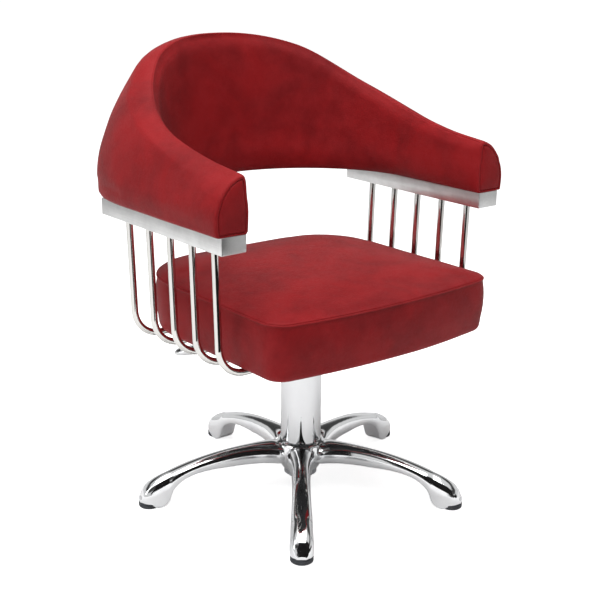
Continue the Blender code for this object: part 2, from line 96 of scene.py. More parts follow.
# ---------------------------------------------------------------- node helpers
class Nodes:
    """A short way to write node trees."""

    def __init__(self, name):
        self.material = bpy.data.materials.new(name)
        self.material.use_nodes = True
        self.tree = self.material.node_tree
        self.shader = self.tree.nodes["Principled BSDF"]
        self.place = self.add("ShaderNodeTexCoord").outputs["Object"]

    def add(self, kind, **settings):
        node = self.tree.nodes.new(kind)
        for key, value in settings.items():
            setattr(node, key, value)
        return node

    def link(self, source, target):
        self.tree.links.new(source, target)

    def scaled(self, scale):
        node = self.add("ShaderNodeMapping")
        node.inputs["Scale"].default_value = scale
        self.link(self.place, node.inputs["Vector"])
        return node.outputs["Vector"]

    def noise(self, scale, detail=3.0, roughness=0.55, stretch=None, distortion=0.0):
        node = self.add("ShaderNodeTexNoise")
        node.inputs["Scale"].default_value = scale
        node.inputs["Detail"].default_value = detail
        node.inputs["Roughness"].default_value = roughness
        node.inputs["Distortion"].default_value = distortion
        self.link(self.scaled(stretch) if stretch else self.place, node.inputs["Vector"])
        return node.outputs["Fac"]

    def cells(self, scale, feature="DISTANCE_TO_EDGE", stretch=None):
        node = self.add("ShaderNodeTexVoronoi", feature=feature)
        node.inputs["Scale"].default_value = scale
        self.link(self.scaled(stretch) if stretch else self.place, node.inputs["Vector"])
        return node.outputs["Distance"]

    def ramp(self, factor, low, high, low_value=0.0, high_value=1.0):
        node = self.add("ShaderNodeMapRange")
        node.inputs["From Min"].default_value = low
        node.inputs["From Max"].default_value = high
        node.inputs["To Min"].default_value = low_value
        node.inputs["To Max"].default_value = high_value
        self.link(factor, node.inputs["Value"])
        return node.outputs["Result"]

    def mix(self, factor, first, second):
        node = self.add("ShaderNodeMix", data_type="RGBA")
        self.link(factor, node.inputs["Factor"])
        for socket, value in ((node.inputs[6], first), (node.inputs[7], second)):
            if isinstance(value, tuple):
                socket.default_value = (*value, 1.0)
            else:
                self.link(value, socket)
        return node.outputs[2]

    def maths(self, operation, first, second):
        node = self.add("ShaderNodeMath", operation=operation)
        for socket, value in zip(node.inputs, (first, second)):
            if isinstance(value, (int, float)):
                socket.default_value = value
            else:
                self.link(value, socket)
        return node.outputs["Value"]

    def bump(self, height, distance, strength=1.0, below=None):
        node = self.add("ShaderNodeBump")
        node.inputs["Distance"].default_value = distance
        node.inputs["Strength"].default_value = strength
        self.link(height, node.inputs["Height"])
        if below is not None:
            self.link(below, node.inputs["Normal"])
        return node.outputs["Normal"]

    def finish(self, colour=None, roughness=None, normal=None, **constants):
        for name, value in (("Base Color", colour), ("Roughness", roughness), ("Normal", normal)):
            if value is not None:
                self.link(value, self.shader.inputs[name])
        for name, value in constants.items():
            self.shader.inputs[name.replace("_", " ")].default_value = value
        return self.material


# ---------------------------------------------------------------- materials
def leatherette(name="leatherette"):
    """Grained, slightly mottled red cover, with a painted highlight on its convex edges and painted shade in
    the grain's hollows.
    """
    n = Nodes(name)
    blotch = n.ramp(n.noise(9.0, 4.0, 0.6, distortion=0.4), 0.38, 0.64)
    cloud = n.ramp(n.noise(34.0, 3.0, 0.6), 0.40, 0.66)
    edge = n.add("ShaderNodeNewGeometry").outputs["Pointiness"]
    # painted highlight: convex edges, found by pointiness, are mixed towards the paler red
    painted_edge_highlight = n.ramp(edge, 0.51, 0.58, 0.0, 0.55)
    base = n.mix(n.maths("MULTIPLY", blotch, 0.75), RED, RED_DEEP)
    base = n.mix(n.maths("MULTIPLY", cloud, 0.22), base, RED_PALE_MOTTLE_AND_EDGE_HIGHLIGHT)
    base = n.mix(painted_edge_highlight, base, RED_PALE_MOTTLE_AND_EDGE_HIGHLIGHT)
    grain = n.cells(620.0)
    pebble = n.ramp(grain, 0.0, 0.30)
    creases = n.noise(240.0, 4.0, 0.65)
    # painted shade: the hollows between the grain's pebbles are mixed towards the deep red
    base = n.mix(n.ramp(pebble, 0.0, 1.0, 0.35, 0.0), base, RED_DEEP)
    rough = n.ramp(creases, 0.30, 0.70, 0.44, 0.60)
    low = n.bump(n.noise(42.0, 2.0, 0.5), 0.0016, 0.35)
    middle = n.bump(creases, 0.0006, 0.45, low)
    fine = n.bump(pebble, 0.0004, 0.55, middle)
    return n.finish(base, rough, fine, Specular_IOR_Level=0.12, Sheen_Weight=0.02, Sheen_Roughness=0.45)


def chrome(name, colour=(0.69, 0.695, 0.705), low=0.035, high=0.085):
    n = Nodes(name)
    haze = n.ramp(n.noise(18.0, 3.0), 0.35, 0.70)
    wipe = n.ramp(n.noise(260.0, 3.0, 0.6, stretch=(1.0, 1.0, 0.08)), 0.30, 0.75)
    tone = n.mix(haze, colour, tuple(c * 0.94 for c in colour))
    rough = n.ramp(n.maths("MULTIPLY", haze, wipe), 0.0, 0.55, low, high)
    normal = n.bump(n.noise(30.0, 2.0), 0.0004, 0.10)
    return n.finish(tone, rough, normal, Metallic=1.0)


def polished_casting(name):
    """Buffed aluminium casting: bright, with faint buffing lines and soft waviness."""
    n = Nodes(name)
    haze = n.ramp(n.noise(14.0, 4.0), 0.35, 0.70)
    tone = n.mix(haze, (0.86, 0.865, 0.87), (0.76, 0.77, 0.785))
    rough = n.ramp(n.noise(120.0, 3.0, 0.6, stretch=(1.0, 1.0, 0.3)), 0.30, 0.75, 0.05, 0.13)
    normal = n.bump(n.noise(22.0, 2.0), 0.0010, 0.12)
    return n.finish(tone, rough, normal, Metallic=1.0)


def brushed_rail(name):
    """Rail with a light lengthwise brushing."""
    n = Nodes(name)
    streak = n.noise(300.0, 4.0, 0.6, stretch=(1.0, 0.012, 1.0))
    cloud = n.ramp(n.noise(26.0, 4.0, 0.6), 0.36, 0.68)
    tone = n.mix(cloud, (0.80, 0.80, 0.795), (0.66, 0.66, 0.655))
    tone = n.mix(n.ramp(streak, 0.35, 0.75, 0.0, 0.35), tone, (0.58, 0.58, 0.575))
    rough = n.ramp(streak, 0.30, 0.75, 0.28, 0.42)
    normal = n.bump(streak, 0.0002, 0.20)
    return n.finish(tone, rough, normal, Metallic=1.0)


def black_nylon(name):
    n = Nodes(name)
    speck = n.noise(420.0, 3.0, 0.6)
    tone = n.mix(n.ramp(n.noise(40.0), 0.35, 0.70), (0.010, 0.012, 0.016), (0.026, 0.030, 0.038))
    return n.finish(tone, n.ramp(speck, 0.3, 0.7, 0.34, 0.52), n.bump(speck, 0.0003, 0.35))


def painted_steel(name):
    n = Nodes(name)
    peel = n.noise(180.0, 3.0, 0.5)
    rub = n.ramp(n.noise(60.0, 5.0, 0.7), 0.60, 0.72)
    tone = n.mix(rub, (0.018, 0.018, 0.020), (0.050, 0.050, 0.053))
    return n.finish(tone, n.ramp(peel, 0.3, 0.7, 0.32, 0.48), n.bump(peel, 0.0004, 0.30), Metallic=0.25)


def zinc(name):
    n = Nodes(name)
    spangle = n.cells(120.0, "F1")
    tone = n.mix(n.ramp(spangle, 0.1, 0.7), (0.62, 0.63, 0.64), (0.46, 0.47, 0.49))
    rough = n.ramp(n.noise(200.0), 0.3, 0.7, 0.25, 0.42)
    return n.finish(tone, rough, n.bump(spangle, 0.0002, 0.2), Metallic=1.0)


def plywood(name):
    """Birch ply: long grain on the faces, plies on the edges."""
    n = Nodes(name)
    grain = n.noise(34.0, 6.0, 0.65, stretch=(0.25, 6.0, 2.0), distortion=1.2)
    plies = n.add("ShaderNodeTexWave", bands_direction="Z")
    plies.inputs["Scale"].default_value = 130.0
    n.link(n.place, plies.inputs["Vector"])
    tone = n.mix(n.ramp(grain, 0.35, 0.70), (0.46, 0.31, 0.17), (0.30, 0.18, 0.09))
    tone = n.mix(n.ramp(plies.outputs["Fac"], 0.4, 0.6, 0.0, 0.25), tone, (0.20, 0.12, 0.06))
    return n.finish(tone, n.ramp(grain, 0.3, 0.7, 0.55, 0.78), n.bump(grain, 0.0006, 0.4))


def dust_cloth(name):
    """Black spun fabric tacked under the seat."""
    n = Nodes(name)
    fibre = n.noise(700.0, 4.0, 0.7)
    dots = n.cells(520.0, "F1")
    tone = n.mix(n.ramp(fibre, 0.3, 0.7), (0.012, 0.012, 0.013), (0.032, 0.032, 0.034))
    normal = n.bump(dots, 0.0005, 0.5, n.bump(fibre, 0.0004, 0.4))
    return n.finish(tone, n.ramp(fibre, 0.3, 0.7, 0.80, 0.95), normal)


# ---------------------------------------------------------------- mesh helpers
def finish_piece(piece, material, body, smooth=True, angle=None):
    piece.data.materials.clear()
    piece.data.materials.append(material)
    if smooth and piece.type == "MESH":
        for face in piece.data.polygons:
            face.use_smooth = True
        if angle is not None:
            sharpen(piece.data, math.radians(angle))
    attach(piece, body)
    return piece


def sharpen(mesh, angle):
    """Mark the edges that stay crisp under smooth shading."""
    work = bmesh.new()
    work.from_mesh(mesh)
    for edge in work.edges:
        edge.smooth = len(edge.link_faces) == 2 and edge.calc_face_angle() < angle
    work.to_mesh(mesh)
    work.free()


def mesh_piece(name, work):
    bmesh.ops.recalc_face_normals(work, faces=work.faces)
    mesh = bpy.data.meshes.new(name)
    work.to_mesh(mesh)
    work.free()
    piece = bpy.data.objects.new(name, mesh)
    bpy.context.scene.collection.objects.link(piece)
    return piece


def skin(work, rows, close_ring=True, cap_start=True, cap_end=True):
    """Faces between rows of points, and over both ends."""
    made = [[work.verts.new(point) for point in row] for row in rows]
    size = len(made[0])
    for row, following in zip(made, made[1:]):
        for i in range(size if close_ring else size - 1):
            k = (i + 1) % size
            work.faces.new((row[i], row[k], following[k], following[i]))
    if cap_start:
        work.faces.new(made[0])
    if cap_end:
        work.faces.new(list(reversed(made[-1])))
    return made


def lofted(name, rows, **options):
    work = bmesh.new()
    skin(work, rows, **options)
    return mesh_piece(name, work)


def turned(name, profile, steps=72, centre=(0.0, 0.0), closed=False):
    """Turn (radius, height) points about an upright axis."""
    work = bmesh.new()
    rings = []
    for radius, z in profile:
        if radius < 1e-6:
            rings.append([work.verts.new((centre[0], centre[1], z))])
            continue
        rings.append([work.verts.new((centre[0] + radius * math.cos(2 * math.pi * k / steps),
                                      centre[1] + radius * math.sin(2 * math.pi * k / steps), z))
                      for k in range(steps)])
    pairs = list(zip(rings, rings[1:]))
    if closed:
        pairs.append((rings[-1], rings[0]))
    for low, high in pairs:
        for k in range(steps):
            following = (k + 1) % steps
            corners = [low[k % len(low)], low[following % len(low)],
                       high[following % len(high)], high[k % len(high)]]
            unique = list(dict.fromkeys(corners))
            if len(unique) > 2:
                work.faces.new(unique)
    return mesh_piece(name, work)


def tube(name, points, radius, sides=20, closed=False):
    """A round bar swept along points."""
    work = bmesh.new()
    rows = []
    count = len(points)
    points = [Vector(p) for p in points]
    up = None
    for i, point in enumerate(points):
        ahead = points[(i + 1) % count] if closed or i + 1 < count else point
        behind = points[i - 1] if closed or i > 0 else point
        along = (ahead - behind).normalized()
        if up is None:
            up = along.orthogonal().normalized()
        up = (up - along * up.dot(along)).normalized()
        side = along.cross(up)
        rows.append([point + (up * math.cos(2 * math.pi * k / sides)
                              + side * math.sin(2 * math.pi * k / sides))
                     * radius for k in range(sides)])
    made = skin(work, rows, cap_start=not closed, cap_end=not closed)
    if closed:
        last, first = made[-1], made[0]
        shift = min(range(sides), key=lambda s: (last[0].co - first[s].co).length)
        for k in range(sides):
            work.faces.new((last[k], last[(k + 1) % sides], first[(k + 1 + shift) % sides],
                            first[(k + shift) % sides]))
    return mesh_piece(name, work)


def interpolate(stations, x):
    """Smooth curve through stations of (x, y), level at the last one."""
    slopes = [(b[1] - a[1]) / (b[0] - a[0]) for a, b in zip(stations, stations[1:])]
    tangents = [slopes[0]] + [(a + b) / 2 for a, b in zip(slopes, slopes[1:])] + [0.0]
    if x <= stations[0][0]:
        return stations[0][1]
    for i, ((x0, y0), (x1, y1)) in enumerate(zip(stations, stations[1:])):
        if x <= x1:
            span = x1 - x0
            t = (x - x0) / span
            return ((2 * t ** 3 - 3 * t ** 2 + 1) * y0 + (t ** 3 - 2 * t ** 2 + t) * span * tangents[i]
                    + (3 * t ** 2 - 2 * t ** 3) * y1 + (t ** 3 - t ** 2) * span * tangents[i + 1])
    return stations[-1][1]


def smooth(x):
    x = min(max(x, 0.0), 1.0)
    return x * x * (3.0 - 2.0 * x)


def fillet(start, corner, end, radius, segments):
    start, corner, end = Vector(start), Vector(corner), Vector(end)
    u = (start - corner).normalized()
    v = (end - corner).normalized()
    half = u.angle(v) / 2
    reach = radius / math.tan(half)
    centre = corner + (u + v).normalized() * (radius / math.sin(half))
    first = corner + u * reach - centre
    axis = first.cross(corner + v * reach - centre).normalized()
    sweep = math.pi - 2 * half
    return [centre + Matrix.Rotation(sweep * i / segments, 3, axis) @ first for i in range(segments + 1)]


def radial(angle, distance, z, side=0.0):
    along = Vector((math.cos(angle), math.sin(angle), 0.0))
    across = Vector((-math.sin(angle), math.cos(angle), 0.0))
    return along * distance + across * side + Vector((0.0, COLUMN_Y, z))


def polyline_length(points):
    return sum((Vector(b) - Vector(a)).length for a, b in zip(points, points[1:]))


def resample(points, lengths):
    """Points of a polyline at given distances along it, in rising order."""
    result = []
    index, start = 0, 0.0
    span = (Vector(points[1]) - Vector(points[0])).length
    for length in lengths:
        while index < len(points) - 2 and start + span < length:
            start += span
            index += 1
            span = (Vector(points[index + 1]) - Vector(points[index])).length
        t = (length - start) / span if span else 0.0
        result.append(Vector(points[index]).lerp(Vector(points[index + 1]), min(max(t, 0.0), 1.0)))
    return result


def spline(points, per_span=8):
    """Catmull-Rom curve through points of any dimension."""
    result = []
    for i in range(len(points) - 1):
        p0, p1 = Vector(points[max(i - 1, 0)]), Vector(points[i])
        p2, p3 = Vector(points[i + 1]), Vector(points[min(i + 2, len(points) - 1)])
        for k in range(per_span):
            t = k / per_span
            result.append(0.5 * (2 * p1 + (p2 - p0) * t + (2 * p0 - 5 * p1 + 4 * p2 - p3) * t ** 2
                                 + (3 * p1 - p0 - 3 * p2 + p3) * t ** 3))
    result.append(Vector(points[-1]))
    return result


# ---------------------------------------------------------------- horseshoe pad
PAD_ARM_SHARE = 0.32
PAD_STEPS = 170
PAD_END_ROUND = 0.0048
PAD_SEAM_OFFSET = 0.0085
PAD_SWELL = 0.0030
SEAM_WIDTH = 0.0010
SEAM_DEPTH = 0.0010


def pad_plan(path):
    """Inner-wall point, outward direction and arc length; path runs -1 to 1."""
    side = -1.0 if path < 0 else 1.0
    along = abs(path)
    if along > 1.0 - PAD_ARM_SHARE:
        y = PAD_FRONT * (along - (1.0 - PAD_ARM_SHARE)) / PAD_ARM_SHARE
        return Vector((side * PAD_INNER_X, y)), Vector((side, 0.0)), y - PAD_FRONT
    turn = along / (1.0 - PAD_ARM_SHARE) * math.pi / 2
    point = Vector((side * PAD_INNER_X * math.sin(turn), PAD_INNER_Y * math.cos(turn)))
    outward = Vector((side * math.sin(turn) / PAD_INNER_X, math.cos(turn) / PAD_INNER_Y)).normalized()
    length = (math.pi / 2 - turn) * (PAD_INNER_X + PAD_INNER_Y) / 2
    return point, outward, length - PAD_FRONT


def pad_depth(point, outward):
    low, high = 0.02, 0.25
    for _ in range(40):
        middle = (low + high) / 2
        x, y = point + outward * middle
        reach = (abs(x) / PAD_OUTER_X) ** PAD_OUTER_POWER
        reach += (max(y - PAD_OUTER_MIDDLE_Y, 0.0) / PAD_OUTER_Y) ** PAD_OUTER_POWER
        low, high = (middle, high) if reach < 1.0 else (low, middle)
    return low


def pad_outline(length, bottom):
    """Section (across, up) from the lower inner edge over the top to the lower outer edge.

    The outer wall stands upright at the arm's front and slopes more and more towards the back.
    """
    rise = interpolate(PAD_TOP, length) - PAD_BOTTOM
    thickness = (PAD_ARM_THICKNESS
                 + (PAD_BACK_THICKNESS - PAD_ARM_THICKNESS) * smooth(length / PAD_TOP[-1][0]))
    top = min(thickness, bottom)
    spread = bottom - top
    upright = 1.0 - smooth(length / 0.20)
    points = [(0.003, 0.0), (0.0008, 0.0008), (0.0, 0.005), (-0.0012, rise * 0.25), (-0.0018, rise * 0.55),
              (-0.0008, rise - 0.018), (0.0012, rise - 0.0065), (0.0060, rise - 0.0012),
              (top * 0.36, rise + 0.0002)]
    for share, drop, slope, front in ((0.62, 0.0035, 0.02, 0.12), (0.86, 0.0125, 0.08, 0.34),
                                      (1.0, 0.030, 0.17, 0.72)):
        points.append((top * share + spread * (slope + (front - slope) * upright), rise - drop))
    for part, slope, front in ((0.85, 0.44, 0.82), (0.68, 0.68, 0.92), (0.40, 0.95, 1.0),
                               (0.20, 0.995, 1.0)):
        swell = slope + (front - slope) * upright
        bulge = 0.0015 * math.sin(math.pi * part)
        points.append((top + spread * swell + bulge, (rise - 0.030) * part))
    points += [(bottom, 0.005), (bottom - 0.0008, 0.0008), (bottom - 0.003, 0.0)]
    return points


def pad_ring(path, tuck=0.0, shift=0.0, seam=True):
    """One ring round the pad; tuck draws it in and shift slides it along the arm."""
    point, outward, length = pad_plan(path)
    bottom = pad_depth(point, outward)
    curve = spline([Vector((a, u, 0.0)) for a, u in pad_outline(length, bottom)], 6)
    crest = max(range(len(curve)), key=lambda i: curve[i].y)
    total, to_crest = polyline_length(curve), polyline_length(curve[:crest + 1])
    mark = to_crest - PAD_SEAM_OFFSET
    fine = [mark + d * SEAM_WIDTH for d in (-3.0, -1.6, -0.7, 0.0, 0.7, 1.6, 3.0)]
    lengths = [fine[0] * k / 18 for k in range(18)] + fine
    lengths += [fine[-1] + (total - fine[-1]) * k / 34 for k in range(1, 35)]
    samples = resample(curve, lengths)
    lean = PAD_RECLINE * max(outward.y, 0.0)
    ring = []
    for i, sample in enumerate(samples):
        along = (samples[min(i + 1, len(samples) - 1)] - samples[max(i - 1, 0)]).normalized()
        normal = Vector((-along.y, along.x))
        away = abs(lengths[i] - mark) / SEAM_WIDTH
        lift = (0.25 * math.exp(-((away - 3.6) / 2.6) ** 2) - math.exp(-away ** 2)) * SEAM_DEPTH
        lift = lift if seam else 0.0
        freedom = smooth((sample.y - 0.002) / 0.020)
        slack = PAD_SWELL * smooth((sample.y - 0.030) / 0.040)
        across = sample.x + normal.x * (lift - tuck - slack)
        up = sample.y + normal.y * (lift - tuck) * freedom
        plan = point + outward * across
        ring.append(Vector((plan.x, plan.y + lean * up + shift + COLUMN_Y, PAD_BOTTOM + max(up, 0.0))))
    for part in (0.75, 0.5, 0.25):
        plan = point + outward * (0.003 + tuck + (bottom - 0.006 - 2 * tuck) * part)
        ring.append(Vector((plan.x, plan.y + shift + COLUMN_Y, PAD_BOTTOM)))
    return ring


def pad_end_rows(side):
    """Rings that round the arm's front edge, dip into the panel's seam and step in over the panel."""
    rows = [pad_ring(side * share) for share in (0.978, 0.984)]
    for step in range(1, 7):
        turn = math.pi / 2 * step / 6
        rows.append(pad_ring(side, PAD_END_ROUND * (1 - math.cos(turn)),
                             PAD_END_ROUND * (1 - math.sin(turn)),
                             seam=step < 2))
    edge = rows[-1]
    centre = sum(edge, Vector()) / len(edge)
    for share, dent in ((0.968, 0.0006), (0.952, 0.0019), (0.938, 0.0024), (0.922, 0.0017), (0.895, 0.0003),
                        (0.82, -0.0006), (0.66, -0.0013), (0.45, -0.0017), (0.22, -0.0019)):
        rows.append([centre + (p - centre) * share + Vector((0.0, dent, 0.0)) for p in edge])
    return rows


def horseshoe_pad():
    middle = [pad_ring((-1.0 + 2.0 * k / PAD_STEPS) * 0.970) for k in range(PAD_STEPS + 1)]
    rows = list(reversed(pad_end_rows(-1.0))) + middle + pad_end_rows(1.0)
    work = bmesh.new()
    made = skin(work, rows, cap_start=False, cap_end=False)
    for ring in (made[0], made[-1]):
        centre = work.verts.new(sum((v.co for v in ring), Vector()) / len(ring)
                                + Vector((0.0, -0.0001, 0.0)))
        for i, vert in enumerate(ring):
            work.faces.new((vert, ring[(i + 1) % len(ring)], centre))
    return mesh_piece("pad_cover", work)


# ---------------------------------------------------------------- stuffing
CLOTH_VOXEL = 0.0060
CLOTH_PRESSURE = 4.0
CLOTH_FRAMES = 20
CLOTH_NEIGHBOURS = 10
SWELL_MARGIN = 0.0010
PULL = 0.0008


def stuff(piece, cap, still):
    """Blow the cover up as cloth on a remeshed copy, then carry the copy's movement to the cover.

    Free cloth would round the form like a balloon, so a point keeps only its movement along the
    surface normal, held between PULL inwards and cap outwards. Many points end at one of those
    limits. still says which points of the copy don't move at all.
    """
    copy = bpy.data.objects.new(piece.name + "_copy", piece.data.copy())
    bpy.context.scene.collection.objects.link(copy)
    melt = copy.modifiers.new("melt", "REMESH")
    melt.mode = "VOXEL"
    melt.voxel_size = CLOTH_VOXEL
    bake(copy)
    before = [vert.co.copy() for vert in copy.data.vertices]
    pinned = copy.vertex_groups.new(name="pinned")
    pinned.add([i for i, point in enumerate(before) if still(point)], 1.0, "REPLACE")
    cloth = copy.modifiers.new("cloth", "CLOTH")
    settings = cloth.settings
    settings.quality = 6
    settings.mass = 0.25
    settings.tension_stiffness = 12.0
    settings.compression_stiffness = 12.0
    settings.shear_stiffness = 8.0
    settings.bending_stiffness = 1.5
    settings.use_pressure = True
    settings.uniform_pressure_force = CLOTH_PRESSURE
    settings.effector_weights.gravity = 0.0
    settings.vertex_group_mass = "pinned"
    cloth.collision_settings.use_collision = False
    cloth.point_cache.frame_start = 1
    cloth.point_cache.frame_end = CLOTH_FRAMES
    scene = bpy.context.scene
    for number in range(1, CLOTH_FRAMES + 1):
        scene.frame_set(number)
    graph = bpy.context.evaluated_depsgraph_get()
    swollen = copy.evaluated_get(graph).to_mesh()
    tree = kdtree.KDTree(len(before))
    moves = []
    for i, point in enumerate(before):
        normal = copy.data.vertices[i].normal
        out = (swollen.vertices[i].co - point).dot(normal)
        moves.append(normal * min(max(out, -PULL), cap))
        tree.insert(point, i)
    tree.balance()
    copy.evaluated_get(graph).to_mesh_clear()
    for vert in piece.data.vertices:
        total, weights = Vector(), 0.0
        for _, i, distance in tree.find_n(vert.co, CLOTH_NEIGHBOURS):
            weight = 1.0 / (distance + CLOTH_VOXEL * 0.35) ** 2
            total += moves[i] * weight
            weights += weight
        vert.co += total / weights
    scene.frame_set(1)
    bpy.data.objects.remove(copy, do_unlink=True)
    return piece


def wrinkle(piece, strength, scale, seed):
    """Very small unevenness of a stuffed cover."""
    for vert in piece.data.vertices:
        place = vert.co * scale + Vector((seed, seed * 0.7, -seed))
        vert.co += vert.normal * noise.noise(place) * strength


# ---------------------------------------------------------------- box cushion
SEAT_POINTS = 220
SEAT_SWELL = 0.0030


def seat_outline(inset):
    """Plan of the cushion with evenly spaced points."""
    front, back, side = SEAT_FRONT + inset, SEAT_BACK - inset, SEAT_HALF_WIDTH - inset
    front_corner, back_corner = max(SEAT_FRONT_CORNER - inset, 0.006), max(SEAT_BACK_CORNER - inset, 0.006)
    half = [(side * k / 12 * 0.80, front) for k in range(13)]
    for k in range(25):
        turn = math.pi / 2 * (k / 24 - 1)
        half.append((side - front_corner + front_corner * math.cos(turn),
                     front + front_corner + front_corner * math.sin(turn)))
    for k in range(25):
        turn = math.pi / 2 * k / 24
        half.append((side - back_corner + back_corner * math.cos(turn),
                     back - back_corner + back_corner * math.sin(turn)))
    half.append((0.0, back))
    bowed = [(x, y - SEAT_BOW * (1.0 - (x / side) ** 2) * smooth((y - 0.05) / (front - 0.05)))
             for x, y in half]
    loop = [Vector((x, y + COLUMN_Y, 0.0)) for x, y in bowed + [(-x, y) for x, y in reversed(bowed[:-1])]]
    total = polyline_length(loop)
    return resample(loop, [total * k / SEAT_POINTS for k in range(SEAT_POINTS)])


def seat_cover():
    """Boxing, sewn edge and crowned top panel; levels are (inset from the widest outline, height)."""
    levels = [(0.0600, SEAT_BOTTOM + 0.0001), (0.0300, SEAT_BOTTOM + 0.0001), (0.0170, SEAT_BOTTOM + 0.0003),
              (0.0135, 0.3334), (0.0105, 0.3352), (0.0078, 0.3382), (0.0056, 0.3422), (0.0035, 0.3480),
              (0.0016, 0.3570), (-0.0002, 0.3680), (-0.0014, 0.3800), (-0.0019, 0.3920), (-0.0017, 0.4040),
              (-0.0008, 0.4140), (0.0004, 0.4220), (0.0014, 0.4272), (0.0022, 0.4298), (0.0029, 0.4311),
              (0.0037, 0.4316), (0.0042, 0.4323), (0.0044, 0.4334), (0.0048, 0.4346), (0.0060, 0.4360),
              (0.0085, 0.4380), (0.0125, 0.4402), (0.0185, 0.4424), (0.0270, 0.4443), (0.0390, 0.4460),
              (0.0540, 0.4475), (0.0720, 0.4488), (0.0930, 0.4499), (0.1160, 0.4508), (0.1400, 0.4515),
              (0.1650, 0.4519), (0.1900, 0.4521), (0.2150, 0.4522)]
    slack = SEAT_SWELL
    rows = []
    for inset, z in levels:
        free = (smooth((z - SEAT_BOTTOM - 0.004) / 0.020)
                * (1.0 - 0.8 * math.exp(-((z - SEAT_SEAM_Z) / 0.004) ** 2)))
        crown = smooth((z - SEAT_SEAM_Z) / 0.012)
        rows.append([p + Vector((0.0, 0.0, z - slack * crown)) for p in seat_outline(inset + slack * free)])
    return lofted("seat_cover", rows)


def seat_still(point):
    """The base of the cushion and its sewn edge stay where they are."""
    x, y, z = point
    if z < SEAT_BOTTOM + 0.005:
        return True
    edge = (abs(x) > SEAT_HALF_WIDTH - 0.008
            or y - COLUMN_Y < SEAT_FRONT + 0.010
            or y - COLUMN_Y > SEAT_BACK - 0.008)
    return edge and abs(z - SEAT_SEAM_Z) < 0.003


def seat_welt(cover):
    """Thin cord sewn into the top seam, laid on the finished cover."""
    ring = []
    for point in seat_outline(0.0030):
        _, place, normal, _ = cover.closest_point_on_mesh(point + Vector((0.0, 0.0, SEAT_SEAM_Z - 0.0008)))
        ring.append(place + normal * 0.0003)
    return tube("seat_welt", ring, 0.0015, 10, closed=True)


# ---------------------------------------------------------------- metal pieces
LEG_TOP = [(0.031, 0.088), (0.050, 0.0975), (0.070, 0.0988), (0.110, 0.0968), (0.150, 0.0922),
           (0.190, 0.0845),
           (0.225, 0.0750), (0.255, 0.0652), (0.280, 0.0562), (0.297, 0.0462), (0.3085, 0.0345),
           (0.3175, 0.0180)]
LEG_UNDER = [(0.031, 0.0570), (0.070, 0.0620), (0.150, 0.0620), (0.190, 0.0600), (0.225, 0.0525),
             (0.244, 0.0415),
             (0.256, 0.0280), (0.262, 0.0115), (0.320, 0.0115)]
LEG_HALF_WIDTH = [(0.031, 0.0205), (0.048, 0.0275), (0.060, 0.0260), (0.100, 0.0190), (0.140, 0.0168),
                  (0.190, 0.0168), (0.225, 0.0178), (0.262, 0.0202), (0.290, 0.0215), (0.303, 0.0198),
                  (0.311, 0.0155), (0.3175, 0.0085)]
LEG_SECTION = [(-0.88, 0.0), (-0.96, 0.10), (-1.0, 0.30), (-0.98, 0.52), (-0.88, 0.73), (-0.68, 0.89),
               (-0.36, 0.975),
               (0.0, 1.0), (0.36, 0.975), (0.68, 0.89), (0.88, 0.73), (0.98, 0.52), (1.0, 0.30),
               (0.96, 0.10),
               (0.88, 0.0)]


def star_base():
    """Five arched, hollow-backed legs run into one hub, then melted together and smoothed."""
    work = bmesh.new()
    stations = [0.031 + 0.2865 * k / 72 for k in range(73)]
    for index in range(LEG_COUNT):
        heading = LEG_TURN - math.pi / 2 + index * 2 * math.pi / LEG_COUNT
        rows = []
        for r in stations:
            top, under = interpolate(LEG_TOP, r), interpolate(LEG_UNDER, r)
            width = interpolate(LEG_HALF_WIDTH, r)
            row = [radial(heading, r, under + (top - under) * v, u * width) for u, v in LEG_SECTION]
            hollow = smooth((r - 0.062) / 0.015) * smooth((0.252 - r) / 0.012)
            depth = (top - under - 0.0085) * hollow
            inner = max(width - 0.0050, 0.004)
            row += [radial(heading, r, under, inner), radial(heading, r, under + depth * 0.75, inner * 0.96),
                    radial(heading, r, under + depth, inner * 0.6),
                    radial(heading, r, under + depth, -inner * 0.6),
                    radial(heading, r, under + depth * 0.75, -inner * 0.96),
                    radial(heading, r, under, -inner)]
            rows.append(row)
        skin(work, rows)
    legs = mesh_piece("legs_form", work)
    hub = turned("hub_form", [(0.0243, 0.100), (0.0400, 0.100), (0.0455, 0.0950), (0.0470, 0.0800),
                              (0.0440, 0.0620),
                              (0.0385, 0.0480), (0.0340, 0.0400), (0.0243, 0.0400)],
                 steps=96, centre=(0.0, COLUMN_Y), closed=True)
    work = bmesh.new()
    for form in (legs, hub):
        work.from_mesh(form.data)
        bpy.data.objects.remove(form, do_unlink=True)
    base = mesh_piece("star_casting", work)
    melt = base.modifiers.new("melt", "REMESH")
    melt.mode = "VOXEL"
    melt.voxel_size = 0.0016
    melt.use_smooth_shade = True
    bake(base)
    near_hub = base.vertex_groups.new(name="near_hub")
    for vert in base.data.vertices:
        reach = math.hypot(vert.co.x, vert.co.y - COLUMN_Y)
        near_hub.add([vert.index], 1.0 - smooth((reach - 0.070) / 0.030), "REPLACE")
    for group, rounds in (("", 3), ("near_hub", 16)):
        ease = base.modifiers.new("ease", "SMOOTH")
        ease.factor = 0.5
        ease.iterations = rounds
        ease.vertex_group = group
    return bake(base)


def bake(piece):
    """Apply a piece's modifiers."""
    graph = bpy.context.evaluated_depsgraph_get()
    mesh = bpy.data.meshes.new_from_object(piece.evaluated_get(graph))
    piece.modifiers.clear()
    old = piece.data
    piece.data = mesh
    bpy.data.meshes.remove(old)
    return piece


